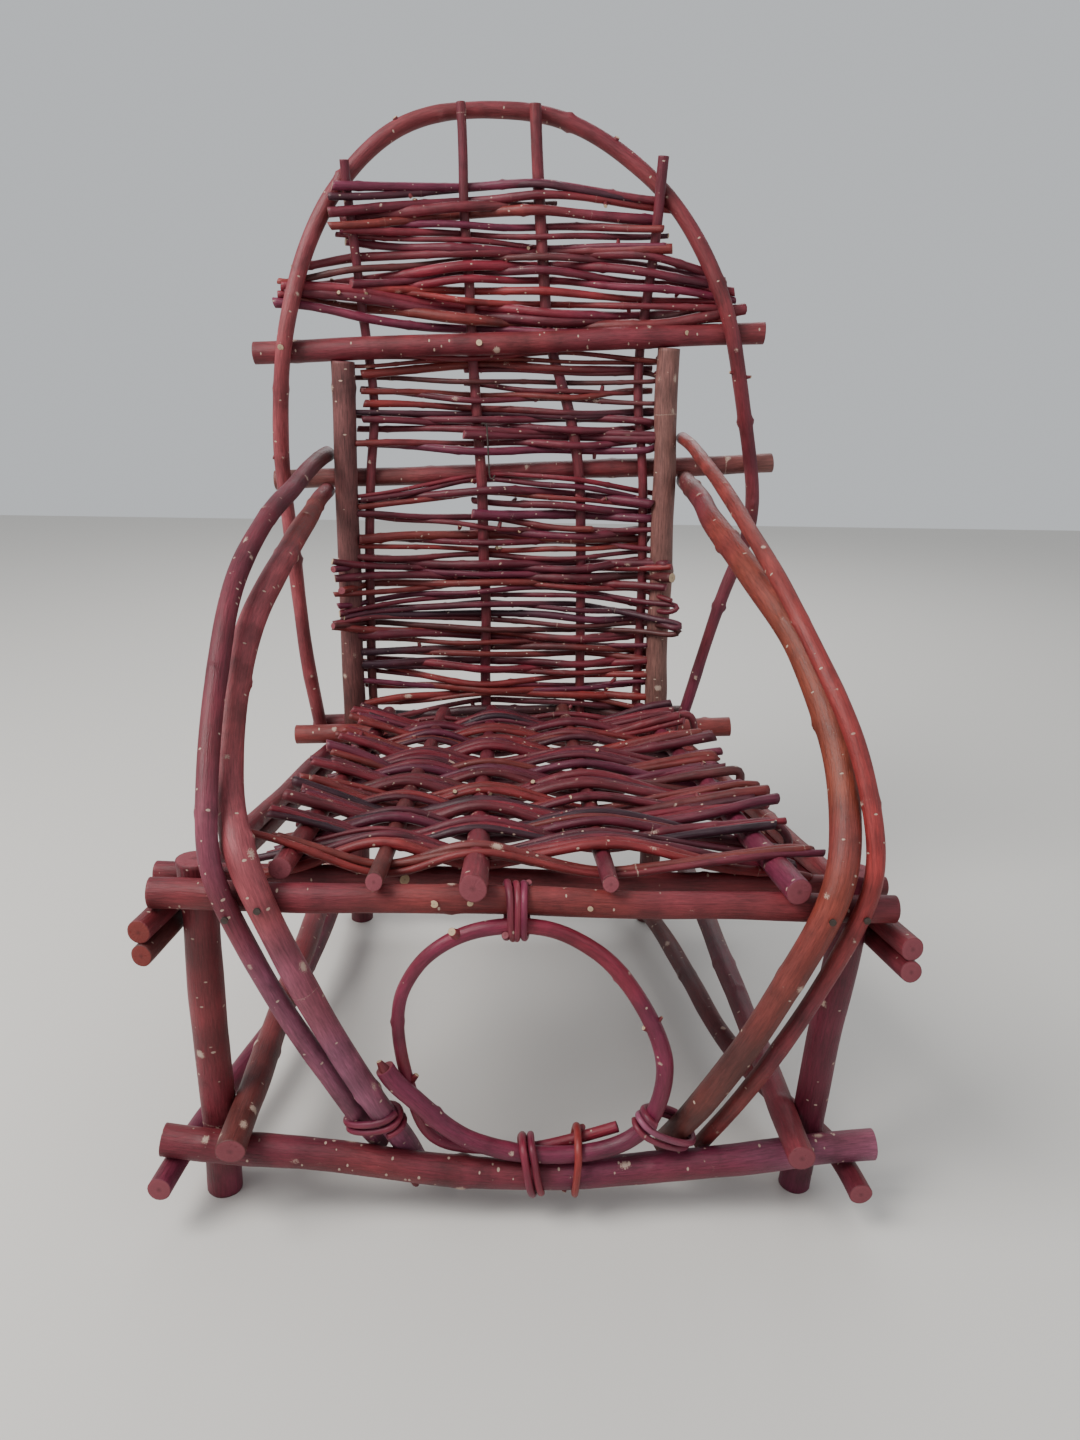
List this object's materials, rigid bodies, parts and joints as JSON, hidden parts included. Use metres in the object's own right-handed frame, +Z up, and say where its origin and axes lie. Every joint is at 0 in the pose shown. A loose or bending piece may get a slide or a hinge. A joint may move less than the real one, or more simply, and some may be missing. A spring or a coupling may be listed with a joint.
{
  "type": "twig armchair",
  "caption": "Doll-size armchair of bark-on twigs: legs, posts and rails nailed together, bent arms, arched back, woven seat and back, and a tied ring at the front.",
  "frame": {"origin": "on the floor under the middle of the chair's box", "axes": "+Z up, the chair faces -Y, +X to the right of someone looking at its front"},
  "size_m": [0.3404, 0.3395, 0.5293],
  "materials": {
    "red_bark": "satin",
    "post_bark": "satin",
    "orange_bark": "satin",
    "plum_bark": "satin",
    "weave_bark": "satin",
    "tie_bark": "satin",
    "nail_steel": "dull"
  },
  "bodies": {
    "root": {"back_hoop": "red_bark", "back_slat_1": "red_bark", "back_slat_2": "red_bark", "back_slat_3": "red_bark", "back_slat_4": "red_bark", "front_bottom_rail": "red_bark", "front_left_leg": "red_bark", "front_right_leg": "red_bark", "front_ring": "plum_bark", "front_top_rail": "red_bark", "head_weave_lower": "weave_bark", "head_weave_upper": "weave_bark", "left_arms_tie": "tie_bark", "left_back_post": "post_bark", "left_floor_rail": "red_bark", "left_inner_arm": "red_bark", "left_inner_rail": "red_bark", "left_outer_arm": "red_bark", "left_side_rail": "red_bark", "left_under_rail": "red_bark", "lower_back_rail": "red_bark", "lower_weave_bottom": "weave_bark", "lower_weave_middle": "weave_bark", "lower_weave_top": "weave_bark", "middle_weave": "weave_bark", "nail_heads": "nail_steel", "rear_bottom_rail": "red_bark", "rear_seat_rail": "red_bark", "right_back_post": "post_bark", "right_floor_rail": "red_bark", "right_inner_arm": "orange_bark", "right_inner_rail": "red_bark", "right_outer_arm": "orange_bark", "right_side_rail": "red_bark", "right_under_rail": "red_bark", "ring_foot_tie_left": "tie_bark", "ring_foot_tie_right": "tie_bark", "ring_side_tie": "tie_bark", "ring_top_tie": "tie_bark", "seat_back_rail": "red_bark", "seat_rod_1": "red_bark", "seat_rod_2": "red_bark", "seat_rod_3": "red_bark", "seat_rod_4": "red_bark", "seat_rod_5": "red_bark", "seat_weave_back": "weave_bark", "seat_weave_front": "weave_bark", "seat_weave_middle": "weave_bark", "second_front_rail": "red_bark", "upper_back_rail": "red_bark"}
  },
  "joints": []
}
